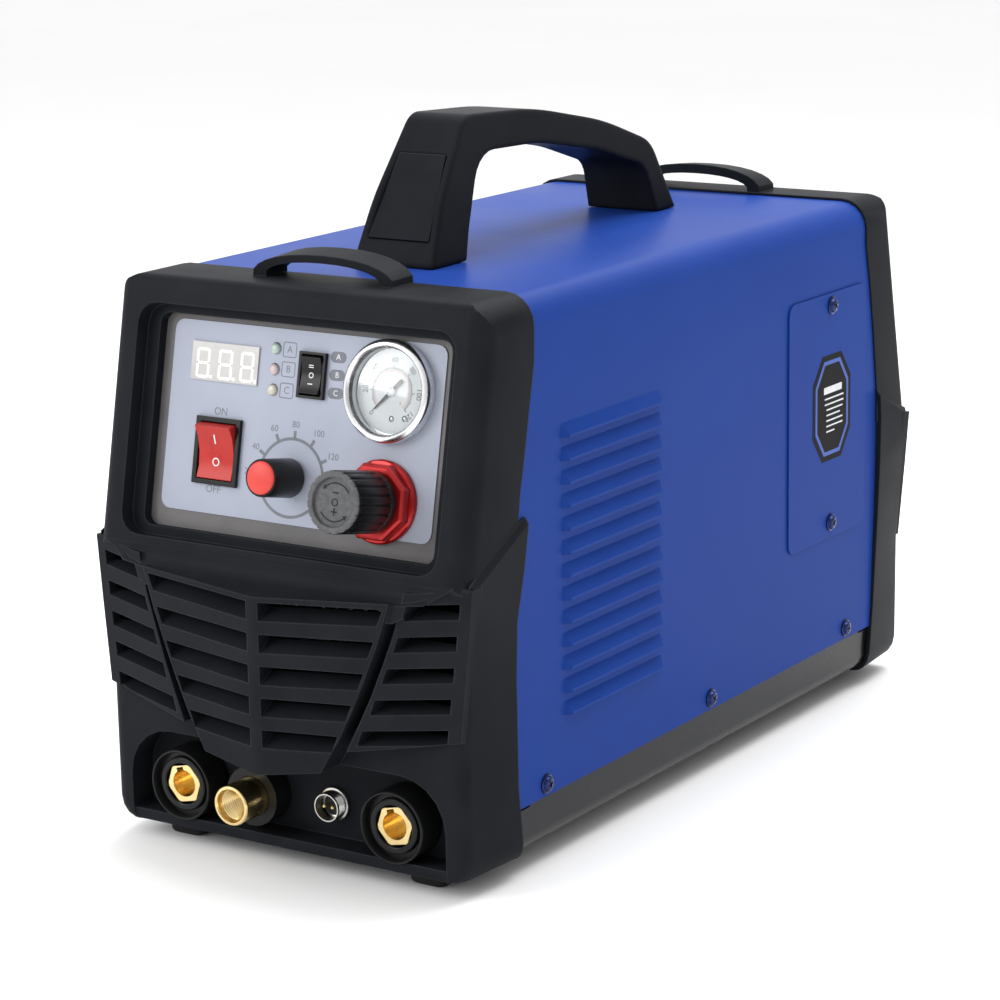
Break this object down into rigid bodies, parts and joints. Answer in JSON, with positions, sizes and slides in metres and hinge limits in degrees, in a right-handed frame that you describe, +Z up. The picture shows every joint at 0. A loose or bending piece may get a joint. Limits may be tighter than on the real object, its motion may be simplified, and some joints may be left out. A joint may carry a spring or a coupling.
{
  "type": "inverter welding machine",
  "caption": "Portable inverter welder with sheet cover, moulded end covers, carry handle, tilted control panel with rockers, knobs and gauge, grille and cable sockets.",
  "frame": {"origin": "on the floor, in the middle of the footprint", "axes": "+Z up, -Y towards the control panel, +X to the service cover's side; +Y is the longest extent"},
  "size_m": [0.2104, 0.4804, 0.3317],
  "materials": {
    "air_inlet_fitting": "barbed",
    "base_pan": "satin black",
    "carry_handle": "textured black",
    "control_panel": "dark grey",
    "control_socket_insert": "black with pins",
    "control_socket_shell": "nickel",
    "current_knob": "black",
    "current_knob_cap": "red",
    "current_potentiometer": "polished nut",
    "display_module": "milky window",
    "fan_frame": "black",
    "fan_rotor": "black",
    "foot_front_left": "black",
    "foot_front_right": "black",
    "foot_rear_left": "black",
    "foot_rear_right": "black",
    "front_cover": "textured black",
    "gauge_case": "polished",
    "gauge_dial": "white",
    "gauge_lens": "clear",
    "gauge_needle": "black",
    "handle_insert_plate": "textured black",
    "heatsink": "extruded",
    "inverter_board": "green board",
    "main_capacitor": "sleeve",
    "main_transformer": "ferrite and winding",
    "mode_rocker": "black",
    "mode_switch_housing": "black",
    "output_choke": "wound ring",
    "output_socket_left_contact": "turned",
    "output_socket_left_insulator": "black",
    "output_socket_right_contact": "turned",
    "output_socket_right_insulator": "black",
    "panel_overlay": "pale grey film",
    "power_cord_gland": "black",
    "power_rocker": "red",
    "power_switch_housing": "black",
    "rear_cover": "textured black",
    "rear_panel": "satin black",
    "regulator_body": "cast",
    "regulator_knob": "fluted black",
    "regulator_nut": "red anodised",
    "regulator_spindle": "turned",
    "service_cover": "blue powder coat",
    "service_screw_lower": "blued",
    "service_screw_upper": "blued",
    "side_screw_left_front": "blued",
    "side_screw_left_middle": "blued",
    "side_screw_left_rear": "blued",
    "side_screw_right_front": "blued",
    "side_screw_right_middle": "blued",
    "side_screw_right_rear": "blued",
    "solenoid_plunger": "turned",
    "solenoid_valve": "block and coil",
    "status_led_green": "unlit lens",
    "status_led_red": "unlit lens",
    "status_led_yellow": "unlit lens",
    "top_cover": "blue powder coat",
    "torch_connector": "turned",
    "torch_connector_collar": "black"
  },
  "bodies": {
    "machine": {"air_inlet_fitting": "air_inlet_fitting", "base_pan": "base_pan", "carry_handle": "carry_handle", "control_panel": "control_panel", "control_socket_insert": "control_socket_insert", "control_socket_shell": "control_socket_shell", "current_potentiometer": "current_potentiometer", "display_module": "display_module", "fan_frame": "fan_frame", "foot_front_left": "foot_front_left", "foot_front_right": "foot_front_right", "foot_rear_left": "foot_rear_left", "foot_rear_right": "foot_rear_right", "front_cover": "front_cover", "gauge_case": "gauge_case", "gauge_dial": "gauge_dial", "gauge_lens": "gauge_lens", "handle_insert_plate": "handle_insert_plate", "heatsink": "heatsink", "inverter_board": "inverter_board", "main_capacitor": "main_capacitor", "main_transformer": "main_transformer", "mode_switch_housing": "mode_switch_housing", "output_choke": "output_choke", "output_socket_left_contact": "output_socket_left_contact", "output_socket_left_insulator": "output_socket_left_insulator", "output_socket_right_contact": "output_socket_right_contact", "output_socket_right_insulator": "output_socket_right_insulator", "panel_overlay": "panel_overlay", "power_cord_gland": "power_cord_gland", "power_switch_housing": "power_switch_housing", "rear_cover": "rear_cover", "rear_panel": "rear_panel", "regulator_body": "regulator_body", "regulator_nut": "regulator_nut", "service_cover": "service_cover", "service_screw_lower": "service_screw_lower", "service_screw_upper": "service_screw_upper", "side_screw_left_front": "side_screw_left_front", "side_screw_left_middle": "side_screw_left_middle", "side_screw_left_rear": "side_screw_left_rear", "side_screw_right_front": "side_screw_right_front", "side_screw_right_middle": "side_screw_right_middle", "side_screw_right_rear": "side_screw_right_rear", "solenoid_valve": "solenoid_valve", "status_led_green": "status_led_green", "status_led_red": "status_led_red", "status_led_yellow": "status_led_yellow", "top_cover": "top_cover", "torch_connector": "torch_connector", "torch_connector_collar": "torch_connector_collar"},
    "power_rocker": {"power_rocker": "power_rocker"},
    "mode_rocker": {"mode_rocker": "mode_rocker"},
    "current_knob": {"current_knob": "current_knob", "current_knob_cap": "current_knob_cap"},
    "regulator_spindle": {"regulator_spindle": "regulator_spindle"},
    "regulator_knob": {"regulator_knob": "regulator_knob"},
    "gauge_needle": {"gauge_needle": "gauge_needle"},
    "fan_rotor": {"fan_rotor": "fan_rotor"},
    "solenoid_plunger": {"solenoid_plunger": "solenoid_plunger"}
  },
  "joints": [
    {"name": "power_rocker_tilt", "type": "hinge", "parent": "machine", "child": "power_rocker", "pos_m": [-0.0449, -0.19821, 0.18753], "axis": [-1, 0, 0], "range_deg": [0, 22]},
    {"name": "mode_rocker_tilt", "type": "hinge", "parent": "machine", "child": "mode_rocker", "pos_m": [0.0046, -0.1903, 0.22613], "axis": [-1, 0, 0], "range_deg": [-12, 12]},
    {"name": "current_knob_turn", "type": "hinge", "parent": "machine", "child": "current_knob", "pos_m": [-0.0029, -0.21092, 0.18228], "axis": [0, 0.9796, -0.2007], "range_deg": [0, 280]},
    {"name": "regulator_turn", "type": "hinge", "parent": "machine", "child": "regulator_spindle", "pos_m": [0.0479, -0.20999, 0.17688], "axis": [0, 0.9796, -0.2007], "range_deg": [0, 1440]},
    {"name": "regulator_knob_pull", "type": "slide", "parent": "regulator_spindle", "child": "regulator_knob", "axis": [0, -0.9796, 0.2007], "range_m": [0, 0.003]},
    {"name": "gauge_needle_swing", "type": "hinge", "parent": "machine", "child": "gauge_needle", "pos_m": [0.0478, -0.19153, 0.22312], "axis": [0, 0.9796, -0.2007], "range_deg": [0, 270]},
    {"name": "fan_spin", "type": "hinge", "parent": "machine", "child": "fan_rotor", "pos_m": [0, 0.15, 0.1557], "axis": [0, 1, 0], "continuous": true},
    {"name": "solenoid_lift", "type": "slide", "parent": "machine", "child": "solenoid_plunger", "axis": [0, 0, 1], "range_m": [0, 0.003]}
  ]
}
